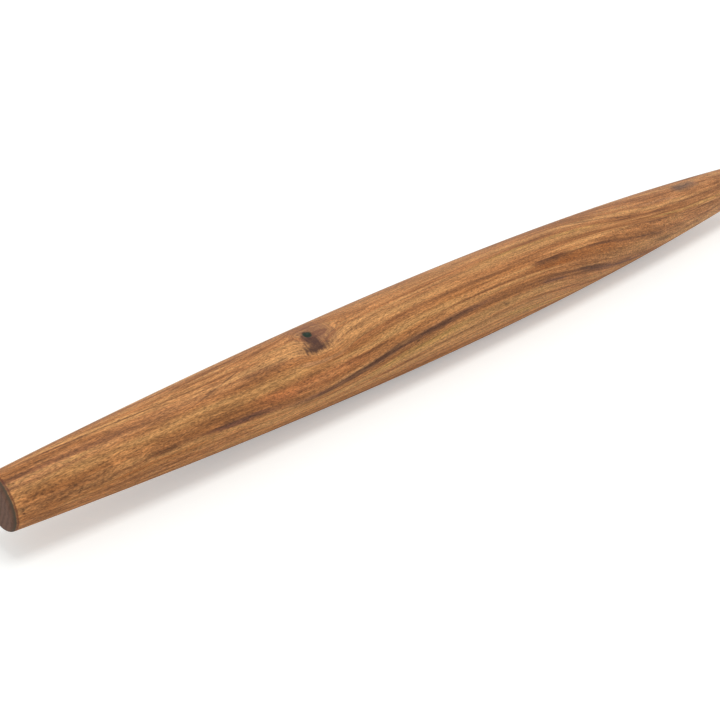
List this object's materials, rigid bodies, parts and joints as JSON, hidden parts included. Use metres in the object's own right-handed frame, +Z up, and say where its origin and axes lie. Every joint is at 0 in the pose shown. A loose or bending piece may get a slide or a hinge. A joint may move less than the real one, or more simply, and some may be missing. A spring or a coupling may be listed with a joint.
{
  "type": "french rolling pin",
  "caption": "Turned wooden rolling pin without handles, tapering in one long curve from a thick middle to slim ends with softly rounded edges.",
  "frame": {"origin": "middle of the pin's length, on the axis that it was turned about", "axes": "+X along the pin, towards the end that is farther away in the picture; +Z up, with the pin lying on its side"},
  "size_m": [0.508, 0.04, 0.04],
  "materials": {
    "oiled_acacia": "oiled, satin, golden brown with darker streaks"
  },
  "bodies": {
    "root": {"tapered_pin": "oiled_acacia"}
  },
  "joints": []
}
